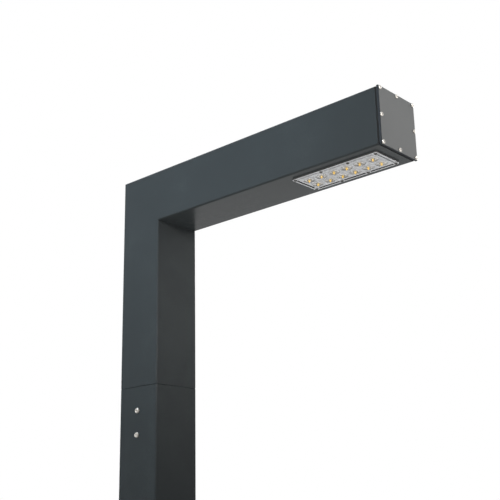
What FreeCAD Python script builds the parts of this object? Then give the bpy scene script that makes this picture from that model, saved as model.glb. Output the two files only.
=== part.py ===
"""Post top light: a square post with an L-shaped head that carries an LED module under its arm.

Millimetres, +Z up. The origin is on the post's axis at the underside of the base plate, and the arm
reaches out along +X. Each piece is one function that returns its solids, in its place in the light.
"""
import FreeCAD, Part
import math
import os

from FreeCAD import Vector

# Tube of the post and the head
SECTION = 100.0            # outside width of the square tube
TUBE_WALL = 3.0
TUBE_BEND = 0.5            # inside radius of the tube's corners
HEIGHT = 2500.0            # ground to the arm's top face
HEAD_DROP = 410.0          # arm's top face down to the joint line between head and post
ARM_REACH = 555.0          # post axis to the open end of the arm's tube
JOINT_BEVEL = 1.0          # bevel round both tube ends that meet at the joint line

# Base plate
BASE_SIZE = 250.0
BASE_THICKNESS = 10.0
BASE_CLIP = 15.0           # cut off each corner
ANCHOR_SPACING = 190.0     # between the centres of the anchor holes
ANCHOR_HOLE = 18.0         # diameter
CABLE_HOLE = 60.0          # diameter of the hole for the feed cable
WELD_LEG = 6.0             # fillet weld round the foot of the post
WELD_CLIP = 8.0            # cut off each corner of the weld's foot

# Spigot, the inner tube that plugs the head into the post
SPIGOT_FIT = 0.3           # gap to the tube on each side
SPIGOT_WALL = 5.0
SPIGOT_CLIP = 4.0          # cut off each corner, to clear the tube's bends
SPIGOT_UP = 120.0          # length inside the head
SPIGOT_TAIL = 40.0         # length below the lowest post screw
POST_SCREW_DROP = 43.5     # joint line to the upper screw
POST_SCREW_PITCH = 43.5
POST_SCREWS_PER_FACE = 2

# Screws and nuts: thread radius, head radius and head height, or width across flats and height.
# Small bores and fasteners are drawn with a few flats instead of full circles, to keep the model light.
M3_THREAD, M3_HEAD, M3_HEIGHT = 1.5, 2.85, 1.6
M4_THREAD, M4_HEAD, M4_HEIGHT = 2.0, 3.5, 2.2
M6_THREAD, M6_HEAD, M6_HEIGHT = 3.0, 5.25, 3.3
M4_NUT_FLATS, M4_NUT_HEIGHT = 7.0, 3.2
M6_NUT_FLATS, M6_NUT_HEIGHT = 10.0, 5.0
THREAD_FIT = 0.05          # gap between a screw and its tapped hole, all round
HOLE_FIT = 0.4             # gap between a screw and a clearance hole, all round
HEAD_EDGE = 0.4            # share of a head's height that stands straight
HEAD_CROWN = 0.6           # share of a head's radius that is left at its top
SMALL_ROUND_SIDES = 8
NUT_SIDES = 6

# Open end of the arm
END_SCREW_INSET = 3.8      # outside faces of the tube to the screw axes
END_BOSS = 4.5             # radius of the tapped bosses inside the mouth
END_SCREW_BITE = 8.0       # how far the screws reach into the bosses
END_GASKET = 3.0           # thickness
END_GASKET_INSET = 1.0     # how far the gasket stays back from the outside faces
END_GASKET_CLIP = 1.5      # cut off each corner of the gasket
END_GASKET_LAND = 4.5      # from the screw axes to the gasket's inner edge
END_PLATE = 4.0            # thickness
END_PLATE_BEVEL = 0.6
STUD_LENGTH = 9.0          # welded studs on the plate's inner face, which hold the gear tray
STUD_SPACING = 34.0
STUD_RISE = 22.0           # gear tray's floor up to the studs

# LED module under the arm
LED_COLUMNS = 6
LED_ROWS = 2
LED_PITCH_X = 26.0
LED_PITCH_Y = 24.0
LED_SIDE = 5.0
LED_BASE = 0.6             # thickness of the LED's ceramic base
PHOSPHOR_SIDE = 4.0
PHOSPHOR = 0.4             # thickness
LENS_MARGIN = 21.5         # outermost LED axes to the lens edge
LENS_CORNER = 5.0
LENS_SETBACK = 15.5        # open end of the arm's tube to the lens
LENS_SCREW_INSET = 5.0     # lens edge to the screw axes
LENS_SCREWS_PER_SIDE = 4
RIM_LAND = 7.5             # lens edge to the hollow in the lens's back
LENS_GASKET = 2.5          # width of the gasket in that hollow
GASKET_GAP = 1.0           # gasket's inner edge to the window in the arm's underside, all round
WINDOW_GAP = 1.0           # window to the board, all round
RIM_WIDTH = 3.0
RIM_BOSS = 5.0             # radius of the screw bosses in the rim
LENS_RECESS = 0.4          # rim's face back to the lens plate
LENS_PLATE = 1.0           # thickness of the lens plate
GROOVE_WIDTH = 3.5         # groove between the rim and the lens plate
GROOVE_FLOOR = 0.7         # thickness left behind the groove
DOME_LENGTH = 22.0         # oval lens dome, along the arm
DOME_WIDTH = 17.0
DOME_HEIGHT = 5.5
DOME_SIDES = 12            # round its outline
DOME_RINGS = 3             # from its foot to its flat top
DOME_TOP = 70.0            # degrees round the dome's elliptical side where the flat top starts
PIT_RADIUS = 4.2           # hollow over each LED, at its mouth
PIT_TOP = 2.6              # radius at its bottom
PIT_DEPTH = 3.8
BOARD = 1.5                # thickness
BOARD_RISE = 0.5           # arm's underside up to the board's lower face
HEAD_ROOM = 0.4            # board screws to the lens plate
THERMAL_PAD = 0.3          # thickness
CONNECTOR_LENGTH, CONNECTOR_WIDTH, CONNECTOR_HEIGHT = 9.0, 8.0, 1.6
WIRE_HOLE = 0.5            # radius of the connector's wire entries
LEAD_HOLE = 4.0            # radius of the hole for the LED lead

# Heat sink inside the arm, behind the module
SINK_GAP = 1.5             # heat sink to the bosses in the mouth
SINK_FLANGE = 6.0          # thickness
FIN_COUNT = 6
FIN_THICKNESS = 2.0
FIN_PITCH = 10.0
FIN_HEIGHT = 15.0
FIN_SETBACK = 36.0         # bare end of the flange, where the lead comes through
GROMMET_WALL = 1.2
GROMMET_HEAD = 2.0         # how far the grommet's head stands out round the hole
GROMMET_HEAD_HEIGHT = 1.5

# Gear tray with the driver and the terminal block
TRAY_CORNER_GAP = 81.0     # inner corner of the head to the tray's rear end
TRAY_WIDTH = 58.0
TRAY_SHEET = 1.5           # thickness
TRAY_BEND = 1.5            # inside bend radius
TRAY_LIP = 9.0             # height of the folded long edges
TRAY_CLEARANCE = 5.0       # heat sink's fins to the tray
TRAY_FLANGE_HEAD = 8.0     # flange above the studs
TRAY_REAR_MARGIN = 14.0    # tray's rear end to the terminal block
DRIVER_LENGTH, DRIVER_WIDTH, DRIVER_HEIGHT = 150.0, 46.0, 28.0
DRIVER_EAR_LENGTH, DRIVER_EAR_WIDTH, DRIVER_EAR_HEIGHT = 14.0, 20.0, 2.5
DRIVER_BEVEL = 2.0         # round the top of the driver's case
DRIVER_GAP = 30.0          # terminal block to the driver
TERMINAL_POLES = 3
TERMINAL_POLE_PITCH = 9.0
TERMINAL_LENGTH = 24.0     # along the arm
TERMINAL_STEP = 6.0        # length of the low step on each side, where wires enter
TERMINAL_STEP_HEIGHT = 10.0
TERMINAL_HEIGHT = 16.0
TERMINAL_ENTRY = 2.2       # radius of the wire entries
TERMINAL_ENTRY_RISE = 6.0  # tray to the wire entries
TERMINAL_WELL = 2.6        # radius of the wells over the clamping screws
TERMINAL_EAR_LENGTH, TERMINAL_EAR_WIDTH, TERMINAL_EAR_HEIGHT = 12.0, 7.0, 5.0
EARTH_SCREW_GAP = 14.0     # driver's ear to the earth screw

# Places that follow from the sizes above
TUBE_CORNER = TUBE_BEND + TUBE_WALL
TUBE_INSIDE = SECTION - 2 * TUBE_WALL
Z_JOINT = HEIGHT - HEAD_DROP
Z_ARM = HEIGHT - SECTION / 2
Z_UNDER = HEIGHT - SECTION
Z_FLOOR = Z_UNDER + TUBE_WALL
X_SEAT = ARM_REACH + END_GASKET
X_PLATE = X_SEAT + END_PLATE

SPIGOT_OUTSIDE = TUBE_INSIDE - 2 * SPIGOT_FIT
SPIGOT_INSIDE = SPIGOT_OUTSIDE - 2 * SPIGOT_WALL
POST_SCREW_SPAN = POST_SCREW_DROP + (POST_SCREWS_PER_FACE - 1) * POST_SCREW_PITCH
SPIGOT_DOWN = POST_SCREW_SPAN + SPIGOT_TAIL

END_BOSS_LENGTH = LENS_SETBACK - SINK_GAP
MOUTH_OPENING = SECTION - 2 * (END_SCREW_INSET + END_GASKET_LAND)
LED_SPAN_X = (LED_COLUMNS - 1) * LED_PITCH_X
LED_SPAN_Y = (LED_ROWS - 1) * LED_PITCH_Y
LENS_LENGTH = LED_SPAN_X + 2 * LENS_MARGIN
LENS_WIDTH = LED_SPAN_Y + 2 * LENS_MARGIN
MODULE_X = ARM_REACH - LENS_SETBACK - LENS_LENGTH / 2
WINDOW_INSET = RIM_LAND + LENS_GASKET + GASKET_GAP
BOARD_INSET = WINDOW_INSET + WINDOW_GAP
Z_BOARD = Z_UNDER + BOARD_RISE
Z_PAD = Z_BOARD + BOARD
Z_PEDESTAL = Z_PAD + THERMAL_PAD
Z_LENS_INNER = Z_BOARD - M3_HEIGHT - HEAD_ROOM
Z_LENS_OUTER = Z_LENS_INNER - LENS_PLATE
Z_RIM = Z_LENS_OUTER - LENS_RECESS
Z_GROOVE = Z_UNDER - GROOVE_FLOOR
RIM_HEIGHT = Z_UNDER - Z_RIM
FIRST_COLUMN_X = MODULE_X - LED_SPAN_X / 2
LEAD_X = MODULE_X + LED_SPAN_X / 2
CONNECTOR_X = LEAD_X - LED_PITCH_X / 2

Z_FLANGE_TOP = Z_FLOOR + SINK_FLANGE
Z_TRAY_UNDER = Z_FLANGE_TOP + FIN_HEIGHT + TRAY_CLEARANCE
Z_TRAY = Z_TRAY_UNDER + TRAY_SHEET
Z_STUD = Z_TRAY + STUD_RISE
X_TRAY_REAR = SECTION / 2 + TRAY_CORNER_GAP
TRAY_OUTER_BEND = TRAY_BEND + TRAY_SHEET
TERMINAL_X = X_TRAY_REAR + TRAY_REAR_MARGIN + TERMINAL_LENGTH / 2
TERMINAL_WIDTH = TERMINAL_POLES * TERMINAL_POLE_PITCH
DRIVER_X = TERMINAL_X + TERMINAL_LENGTH / 2 + DRIVER_GAP + DRIVER_EAR_LENGTH + DRIVER_LENGTH / 2
EARTH_X = DRIVER_X + DRIVER_LENGTH / 2 + DRIVER_EAR_LENGTH + EARTH_SCREW_GAP

X_AXIS = Vector(1, 0, 0)
Y_AXIS = Vector(0, 1, 0)
Z_AXIS = Vector(0, 0, 1)
DOWN = Vector(0, 0, -1)
QUADRANTS = ((1, 1), (-1, 1), (-1, -1), (1, -1))
MITRED = 1                 # makePipeShell's choice for sharp mitred corners
IN_PLANE = 1e-6            # how near to a plane a point counts as lying in it


# Outlines and small helpers

def rounded_outline(length, width, radius, z=0.0, x=0.0):
    """Closed wire of a rectangle with round corners, level at z, its centre at x on the X axis."""
    half_l, half_w = length / 2, width / 2
    bulge = radius * (1 - math.sqrt(0.5))
    arcs = []
    for sx, sy in QUADRANTS:
        on_side = Vector(x + sx * (half_l - radius), sy * half_w, z)
        middle = Vector(x + sx * (half_l - bulge), sy * (half_w - bulge), z)
        on_end = Vector(x + sx * half_l, sy * (half_w - radius), z)
        start, end = (on_side, on_end) if sx * sy < 0 else (on_end, on_side)
        arcs.append((start, middle, end))
    edges = []
    for i, (start, middle, end) in enumerate(arcs):
        edges.append(Part.Arc(start, middle, end).toShape())
        edges.append(Part.makeLine(end, arcs[(i + 1) % len(arcs)][0]))
    return Part.Wire(edges)


def oval_ring(half_length, half_width, sides, z=0.0, x=0.0, y=0.0):
    """Points of a level ring round x, y: corners on an ellipse, with a flat towards each axis."""
    turns = [2 * math.pi * (i + 0.5) / sides for i in range(sides)]
    return [Vector(x + half_length * math.cos(t), y + half_width * math.sin(t), z) for t in turns]


def square_ring(side, z):
    """Corner points of a level square round the Z axis."""
    return [Vector(sx * side / 2, sy * side / 2, z) for sx, sy in QUADRANTS]


def ringed_solid(rings):
    """Flat-sided solid through rings of as many points each, listed from the bottom up."""
    outlines = [rings[0], rings[-1]]
    for low, high in zip(rings, rings[1:]):
        outlines += [[low[i - 1], low[i], high[i], high[i - 1]] for i in range(len(low))]
    faces = [Part.Face(Part.makePolygon(outline + outline[:1])) for outline in outlines]
    return Part.makeSolid(Part.makeShell(faces))


def slab(length, width, radius, z_low, z_high, x=0.0):
    """Level plate with round corners between two heights."""
    outline = rounded_outline(length, width, radius, z_low, x)
    return Part.Face(outline).extrude(Z_AXIS * (z_high - z_low))


def clipped_ring(length, width, clip, z, x=0.0):
    """Corner points of a level rectangle with its corners cut off straight."""
    half_l, half_w = length / 2, width / 2
    ring = []
    for sx, sy in QUADRANTS:
        on_end = Vector(x + sx * half_l, sy * (half_w - clip), z)
        on_side = Vector(x + sx * (half_l - clip), sy * half_w, z)
        ring += [on_end, on_side] if sx * sy > 0 else [on_side, on_end]
    return ring


def clipped_slab(length, width, clip, z_low, z_high, x=0.0):
    """Level plate with its corners cut off straight, between two heights."""
    return ringed_solid([clipped_ring(length, width, clip, z, x) for z in (z_low, z_high)])


def block(length, width, z_low, z_high, x=0.0, y=0.0):
    """Plain block between two heights, with its centre at x, y."""
    return Part.makeBox(length, width, z_high - z_low, Vector(x - length / 2, y - width / 2, z_low))


def module_block(inset, z_low, z_high):
    """Plain block of the lens outline drawn in by inset, between two heights."""
    return block(LENS_LENGTH - 2 * inset, LENS_WIDTH - 2 * inset, z_low, z_high, MODULE_X)


def stand_on(shape, seat, outward):
    """Turns a shape made on the origin along +Z so that it stands at seat and points outward."""
    placed = shape.copy()
    placed.Placement = FreeCAD.Placement(seat, FreeCAD.Rotation(Z_AXIS, outward))
    return placed


def small_bar(radius, seat, direction, length):
    """Slim bar with a few flats round it, from seat along direction."""
    rings = [oval_ring(radius, radius, SMALL_ROUND_SIDES, z) for z in (0, length)]
    return stand_on(ringed_solid(rings), seat, direction)


def drill(solid, radius, seats, direction, depth):
    """Solid with small bores of that depth from each seat along direction."""
    return solid.cut([small_bar(radius, seat, direction, depth) for seat in seats])


def bevel(solid, size, axis, level):
    """Bevels every edge of the solid that lies in the plane where axis has that level."""
    def in_plane(edge):
        return all(abs(v.Point.dot(axis) - level) < IN_PLANE for v in edge.Vertexes)
    return solid.makeChamfer(size, [e for e in solid.Edges if in_plane(e)])


def screw(thread, head, height, grip):
    """Crowned screw with its head on the origin: the head points to +Z and the thread to -Z."""
    levels = [(head, 0), (head, height * HEAD_EDGE), (head * HEAD_CROWN, height)]
    rings = [oval_ring(radius, radius, SMALL_ROUND_SIDES, z) for radius, z in levels]
    return ringed_solid(rings).fuse(small_bar(thread, Vector(), DOWN, grip))


def hex_nut(flats, height, thread):
    """Hexagon nut on the origin, standing to +Z."""
    corner = flats / 2 / math.cos(math.pi / NUT_SIDES)
    body = ringed_solid([oval_ring(corner, corner, NUT_SIDES, z) for z in (0, height)])
    return drill(body, thread + THREAD_FIT, [Vector()], Z_AXIS, height)


# Places that several pieces share

def end_screw_seats(x):
    """Eight points round the arm's square end: the corners and the middles of the sides."""
    reach = SECTION / 2 - END_SCREW_INSET
    steps = [(u, v) for u in (-1, 0, 1) for v in (-1, 0, 1) if (u, v) != (0, 0)]
    return [Vector(x, u * reach, Z_ARM + v * reach) for u, v in steps]


def post_screw_seats(y):
    """Points at y and -y below the joint line, each with the direction that points out of the post."""
    heights = [Z_JOINT - POST_SCREW_DROP - i * POST_SCREW_PITCH for i in range(POST_SCREWS_PER_FACE)]
    return [(Vector(0, side * y, z), Y_AXIS * side) for side in (-1, 1) for z in heights]


def lens_screw_seats(z):
    """Points along both long sides of the lens, evenly spaced from corner to corner."""
    span = LENS_LENGTH - 2 * LENS_SCREW_INSET
    step = span / (LENS_SCREWS_PER_SIDE - 1)
    y = LENS_WIDTH / 2 - LENS_SCREW_INSET
    return [Vector(MODULE_X - span / 2 + i * step, side * y, z)
            for side in (-1, 1) for i in range(LENS_SCREWS_PER_SIDE)]


def led_seats(z):
    """Points of the LED grid."""
    return [Vector(FIRST_COLUMN_X + i * LED_PITCH_X, j * LED_PITCH_Y - LED_SPAN_Y / 2, z)
            for i in range(LED_COLUMNS) for j in range(LED_ROWS)]


def board_screw_seats(z):
    """Points on the board's middle line, in every other gap between LED columns short of the connector's."""
    return [Vector(FIRST_COLUMN_X + (i + 0.5) * LED_PITCH_X, 0, z) for i in range(1, LED_COLUMNS - 1, 2)]


def stud_seats(x):
    """Points of the two studs that hold the gear tray on the end plate."""
    return [Vector(x, side * STUD_SPACING / 2, Z_STUD) for side in (-1, 1)]


def driver_screw_seats(z):
    """Points in the middle of the driver's two ears."""
    reach = (DRIVER_LENGTH + DRIVER_EAR_LENGTH) / 2
    return [Vector(DRIVER_X + side * reach, 0, z) for side in (-1, 1)]


def terminal_screw_seats(z):
    """Points in the middle of the terminal block's two ears."""
    reach = (TERMINAL_WIDTH + TERMINAL_EAR_WIDTH) / 2
    return [Vector(TERMINAL_X, side * reach, z) for side in (-1, 1)]


# Post and base

def base_plate():
    """Square plate with anchor holes, a cable hole and the weld bead round the foot of the post."""
    plate = clipped_slab(BASE_SIZE, BASE_SIZE, BASE_CLIP, 0, BASE_THICKNESS)
    z_bead = BASE_THICKNESS + WELD_LEG
    foot = SECTION + 2 * WELD_LEG
    bead = ringed_solid([clipped_ring(foot, foot, WELD_CLIP, BASE_THICKNESS),
                         clipped_ring(SECTION, SECTION, TUBE_CORNER / 2, z_bead)])
    bead = bead.cut(slab(SECTION, SECTION, TUBE_CORNER, BASE_THICKNESS, z_bead))
    anchors = square_ring(ANCHOR_SPACING, 0)
    holes = [Part.makeCylinder(ANCHOR_HOLE / 2, BASE_THICKNESS, seat) for seat in anchors]
    holes.append(Part.makeCylinder(CABLE_HOLE / 2, BASE_THICKNESS))
    return plate.fuse(bead).cut(holes)


def post_tube():
    """Square tube from the base plate up to the joint line, drilled for the screws."""
    outside = slab(SECTION, SECTION, TUBE_CORNER, BASE_THICKNESS, Z_JOINT)
    outside = bevel(outside, JOINT_BEVEL, Z_AXIS, Z_JOINT)
    tube = outside.cut(slab(TUBE_INSIDE, TUBE_INSIDE, TUBE_BEND, BASE_THICKNESS, Z_JOINT))
    for seat, outward in post_screw_seats(SECTION / 2):
        tube = drill(tube, M6_THREAD + HOLE_FIT, [seat], -outward, TUBE_WALL)
    return tube


def spigot():
    """Inner square tube that is welded into the head and plugs into the post."""
    low, high = Z_JOINT - SPIGOT_DOWN, Z_JOINT + SPIGOT_UP
    tube = clipped_slab(SPIGOT_OUTSIDE, SPIGOT_OUTSIDE, SPIGOT_CLIP, low, high)
    tube = tube.cut(block(SPIGOT_INSIDE, SPIGOT_INSIDE, low, high))
    for seat, outward in post_screw_seats(SPIGOT_OUTSIDE / 2):
        tube = drill(tube, M6_THREAD + HOLE_FIT, [seat], -outward, SPIGOT_WALL)
    return tube


def spigot_nuts():
    """Nuts welded inside the spigot behind the post screws."""
    nut = hex_nut(M6_NUT_FLATS, M6_NUT_HEIGHT, M6_THREAD)
    return [stand_on(nut, seat, -outward) for seat, outward in post_screw_seats(SPIGOT_INSIDE / 2)]


def post_screws():
    """Button-head screws through the post and the spigot into the nuts."""
    grip = TUBE_WALL + SPIGOT_FIT + SPIGOT_WALL + M6_NUT_HEIGHT
    button = screw(M6_THREAD, M6_HEAD, M6_HEIGHT, grip)
    return [stand_on(button, seat, outward) for seat, outward in post_screw_seats(SECTION / 2)]


# Head and the closed end of its arm

def elbow_housing():
    """L-shaped head of mitred square tube, with tapped bosses in its mouth and the LED window."""
    axis = Part.makePolygon([Vector(0, 0, Z_JOINT), Vector(0, 0, Z_ARM), Vector(ARM_REACH, 0, Z_ARM)])

    def swept(size, corner):
        return axis.makePipeShell([rounded_outline(size, size, corner, Z_JOINT)], True, False, MITRED)

    outside = bevel(swept(SECTION, TUBE_CORNER), JOINT_BEVEL, Z_AXIS, Z_JOINT)
    bosses = [small_bar(END_BOSS, seat, -X_AXIS, END_BOSS_LENGTH).common(outside)
              for seat in end_screw_seats(ARM_REACH)]
    housing = outside.cut(swept(TUBE_INSIDE, TUBE_BEND)).fuse(bosses)
    housing = drill(housing, M4_THREAD + THREAD_FIT, end_screw_seats(ARM_REACH), -X_AXIS, END_BOSS_LENGTH)
    housing = housing.cut(module_block(WINDOW_INSET, Z_UNDER, Z_FLOOR))
    return drill(housing, M3_THREAD + HOLE_FIT, lens_screw_seats(Z_UNDER), Z_AXIS, TUBE_WALL)


def end_gasket():
    """Square sealing frame between the arm's mouth and the end plate."""
    side = SECTION - 2 * END_GASKET_INSET
    frame = clipped_slab(side, side, END_GASKET_CLIP, 0, END_GASKET)
    frame = frame.cut(block(MOUTH_OPENING, MOUTH_OPENING, 0, END_GASKET))
    frame = stand_on(frame, Vector(ARM_REACH, 0, Z_ARM), X_AXIS)
    return drill(frame, M4_THREAD + THREAD_FIT, end_screw_seats(ARM_REACH), X_AXIS, END_GASKET)


def end_plate():
    """Plate that closes the arm, with two studs inside for the gear tray."""
    plate = bevel(block(SECTION, SECTION, 0, END_PLATE), END_PLATE_BEVEL, Z_AXIS, END_PLATE)
    plate = stand_on(plate, Vector(X_SEAT, 0, Z_ARM), X_AXIS)
    plate = drill(plate, M4_THREAD + HOLE_FIT, end_screw_seats(X_SEAT), X_AXIS, END_PLATE)
    return plate.fuse([small_bar(M4_THREAD, seat, -X_AXIS, STUD_LENGTH) for seat in stud_seats(X_SEAT)])


def end_plate_screws():
    """Screws round the end plate, into the bosses of the arm."""
    pan = screw(M4_THREAD, M4_HEAD, M4_HEIGHT, END_PLATE + END_GASKET + END_SCREW_BITE)
    return [stand_on(pan, seat, X_AXIS) for seat in end_screw_seats(X_PLATE)]


# LED module

def heat_sink():
    """Finned plate on the arm's inside floor, with a pedestal in the window for the LED board."""
    flange = module_block(0, Z_FLOOR, Z_FLANGE_TOP)
    pedestal = module_block(BOARD_INSET, Z_PEDESTAL, Z_FLOOR)
    fin_length = LENS_LENGTH - FIN_SETBACK
    fin_x = MODULE_X - FIN_SETBACK / 2
    fin_rows = [(i - (FIN_COUNT - 1) / 2) * FIN_PITCH for i in range(FIN_COUNT)]
    z_fins = Z_FLANGE_TOP + FIN_HEIGHT
    fins = [block(fin_length, FIN_THICKNESS, Z_FLANGE_TOP, z_fins, fin_x, y) for y in fin_rows]
    sink = flange.fuse([pedestal] + fins)
    sink = drill(sink, M3_THREAD + THREAD_FIT, lens_screw_seats(Z_FLOOR), Z_AXIS, SINK_FLANGE)
    sink = drill(sink, M3_THREAD + THREAD_FIT, board_screw_seats(Z_PEDESTAL), Z_AXIS, SINK_FLANGE)
    lead = Vector(LEAD_X, 0, Z_PEDESTAL)
    return drill(sink, LEAD_HOLE + GROMMET_WALL, [lead], Z_AXIS, Z_FLANGE_TOP - Z_PEDESTAL)


def lead_grommet():
    """Rubber bush that lines the lead's hole through the heat sink."""
    bush = LEAD_HOLE + GROMMET_WALL
    seat = Vector(LEAD_X, 0, Z_PEDESTAL)
    length = Z_FLANGE_TOP - Z_PEDESTAL
    body = small_bar(bush, seat, Z_AXIS, length)
    head = small_bar(bush + GROMMET_HEAD, seat + Z_AXIS * length, Z_AXIS, GROMMET_HEAD_HEIGHT)
    return drill(body.fuse(head), LEAD_HOLE, [seat], Z_AXIS, length + GROMMET_HEAD_HEIGHT)


def board_layer(z_low, z_high):
    """Sheet of the board's outline, with the holes for its screws and the lead."""
    layer = module_block(BOARD_INSET, z_low, z_high)
    layer = drill(layer, M3_THREAD + HOLE_FIT, board_screw_seats(z_low), Z_AXIS, z_high - z_low)
    return drill(layer, LEAD_HOLE, [Vector(LEAD_X, 0, z_low)], Z_AXIS, z_high - z_low)


def thermal_pad():
    """Soft pad between the heat sink and the LED board."""
    return board_layer(Z_PAD, Z_PEDESTAL)


def led_board():
    """Metal-core board that carries the LEDs."""
    return board_layer(Z_BOARD, Z_PAD)


def led_bases():
    """Ceramic bases of the LEDs."""
    low = Z_BOARD - LED_BASE
    return [block(LED_SIDE, LED_SIDE, low, Z_BOARD, seat.x, seat.y) for seat in led_seats(low)]


def led_phosphors():
    """Yellow light-giving faces of the LEDs."""
    high = Z_BOARD - LED_BASE
    low = high - PHOSPHOR
    return [block(PHOSPHOR_SIDE, PHOSPHOR_SIDE, low, high, seat.x, seat.y) for seat in led_seats(low)]


def board_connector():
    """Low two-pole connector on the board, with its wire entries towards the lead's hole."""
    body = block(CONNECTOR_LENGTH, CONNECTOR_WIDTH, Z_BOARD - CONNECTOR_HEIGHT, Z_BOARD, CONNECTOR_X)
    mouth_x = CONNECTOR_X + CONNECTOR_LENGTH / 2
    entry_z = Z_BOARD - CONNECTOR_HEIGHT / 2
    entries = [Vector(mouth_x, side * CONNECTOR_WIDTH / 4, entry_z) for side in (-1, 1)]
    return drill(body, WIRE_HOLE, entries, -X_AXIS, CONNECTOR_LENGTH / 2)


def board_screws():
    """Screws that hold the board on the heat sink."""
    pan = screw(M3_THREAD, M3_HEAD, M3_HEIGHT, BOARD + THERMAL_PAD + SINK_FLANGE - M3_THREAD)
    return [stand_on(pan, seat, DOWN) for seat in board_screw_seats(Z_BOARD)]


def lens_gasket():
    """Soft sealing frame in the hollow of the lens's back, pressed on the arm's underside."""
    whole = module_block(RIM_LAND, Z_LENS_INNER, Z_UNDER)
    return whole.cut(module_block(RIM_LAND + LENS_GASKET, Z_LENS_INNER, Z_UNDER))


def lens_dome(seat):
    """One lens: an oval dome under the plate, in rings that follow an ellipse down to a flat top."""
    rings = []
    for i in range(DOME_RINGS + 1):
        turn = math.radians(DOME_TOP) * i / DOME_RINGS
        drop = DOME_HEIGHT * math.sin(turn) / math.sin(math.radians(DOME_TOP))
        half_length, half_width = DOME_LENGTH / 2 * math.cos(turn), DOME_WIDTH / 2 * math.cos(turn)
        rings.insert(0, oval_ring(half_length, half_width, DOME_SIDES, Z_LENS_OUTER - drop, seat.x, seat.y))
    return ringed_solid(rings)


def led_pit(seat):
    """Tapered hollow in the back of one lens, over its LED."""
    levels = [(PIT_TOP, Z_LENS_INNER - PIT_DEPTH), (PIT_RADIUS, Z_LENS_INNER)]
    return ringed_solid([oval_ring(r, r, SMALL_ROUND_SIDES, z, seat.x, seat.y) for r, z in levels])


def lens_array():
    """Clear moulded lens: a rim with screw bosses and grooves round a thin plate of domes."""
    lens = slab(LENS_LENGTH, LENS_WIDTH, LENS_CORNER, Z_RIM, Z_UNDER, MODULE_X)
    bosses = [small_bar(RIM_BOSS, seat, Z_AXIS, RIM_HEIGHT) for seat in lens_screw_seats(Z_RIM)]
    recess = module_block(RIM_WIDTH, Z_RIM, Z_GROOVE)
    island = module_block(RIM_WIDTH + GROOVE_WIDTH, Z_LENS_OUTER, Z_GROOVE)
    lens = lens.cut(recess.cut([island] + bosses))
    lens = lens.cut(module_block(RIM_LAND, Z_LENS_INNER, Z_UNDER))
    lens = lens.fuse([lens_dome(seat) for seat in led_seats(Z_LENS_OUTER)])
    lens = lens.cut([led_pit(seat) for seat in led_seats(Z_LENS_INNER)])
    return drill(lens, M3_THREAD + HOLE_FIT, lens_screw_seats(Z_RIM), Z_AXIS, RIM_HEIGHT)


def lens_screws():
    """Screws through the lens and the arm's wall into the heat sink."""
    pan = screw(M3_THREAD, M3_HEAD, M3_HEIGHT, RIM_HEIGHT + TUBE_WALL + SINK_FLANGE)
    return [stand_on(pan, seat, DOWN) for seat in lens_screw_seats(Z_RIM)]


# Gear tray

def folded_outline(points, centres):
    """Closed wire through the points; a run that has a centre is an arc round it, any other is straight."""
    edges = []
    for start, end, centre in zip(points, points[1:] + points[:1], centres):
        if centre is None:
            edges.append(Part.makeLine(start, end))
        else:
            towards = ((start + end) / 2 - centre).normalize()
            edges.append(Part.Arc(start, centre + towards * (start - centre).Length, end).toShape())
    return Part.Wire(edges)


def tray_floor():
    """Tray's floor with its front flange folded up and its rear foot folded down, between the lips."""
    width = TRAY_WIDTH - 2 * TRAY_OUTER_BEND

    def at(x, z):
        return Vector(x, -width / 2, z)

    front = at(X_SEAT - TRAY_OUTER_BEND, Z_TRAY + TRAY_BEND)
    rear = at(X_TRAY_REAR + TRAY_OUTER_BEND, Z_TRAY_UNDER - TRAY_BEND)
    x_flange, z_flange = X_SEAT - TRAY_SHEET, Z_STUD + TRAY_FLANGE_HEAD
    x_foot = X_TRAY_REAR + TRAY_SHEET
    points = [at(X_SEAT, z_flange), at(X_SEAT, front.z), at(front.x, Z_TRAY_UNDER), at(rear.x, Z_TRAY_UNDER),
              at(x_foot, rear.z), at(x_foot, Z_FLOOR), at(X_TRAY_REAR, Z_FLOOR), at(X_TRAY_REAR, rear.z),
              at(rear.x, Z_TRAY), at(front.x, Z_TRAY), at(x_flange, front.z), at(x_flange, z_flange)]
    centres = [None, front, None, rear, None, None, None, rear, None, front, None, None]
    return Part.Face(folded_outline(points, centres)).extrude(Y_AXIS * width)


def tray_lip(side):
    """One long edge of the tray, folded up on the side given by its sign."""
    x_start, x_end = X_TRAY_REAR + TRAY_OUTER_BEND, X_SEAT - TRAY_OUTER_BEND
    edge = side * TRAY_WIDTH / 2
    inner = edge - side * TRAY_SHEET
    bend = Vector(x_start, edge - side * TRAY_OUTER_BEND, Z_TRAY + TRAY_BEND)
    z_lip = Z_TRAY_UNDER + TRAY_LIP
    places = [(bend.y, Z_TRAY_UNDER), (edge, bend.z), (edge, z_lip),
              (inner, z_lip), (inner, bend.z), (bend.y, Z_TRAY)]
    points = [Vector(x_start, y, z) for y, z in places]
    outline = folded_outline(points, [bend, None, None, None, bend, None])
    return Part.Face(outline).extrude(X_AXIS * (x_end - x_start))


def gear_tray():
    """Folded sheet tray: lips along its sides, a flange on the end plate and a foot on the arm's floor."""
    tray = tray_floor().fuse([tray_lip(side) for side in (-1, 1)])
    tray = drill(tray, M4_THREAD + HOLE_FIT, stud_seats(X_SEAT), -X_AXIS, TRAY_SHEET)
    tapped = driver_screw_seats(Z_TRAY) + terminal_screw_seats(Z_TRAY) + [Vector(EARTH_X, 0, Z_TRAY)]
    return drill(tray, M3_THREAD + THREAD_FIT, tapped, DOWN, TRAY_SHEET)


def tray_nuts():
    """Nuts that hold the tray's flange on the studs of the end plate."""
    nut = hex_nut(M4_NUT_FLATS, M4_NUT_HEIGHT, M4_THREAD)
    return [stand_on(nut, seat, -X_AXIS) for seat in stud_seats(X_SEAT - TRAY_SHEET)]


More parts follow.
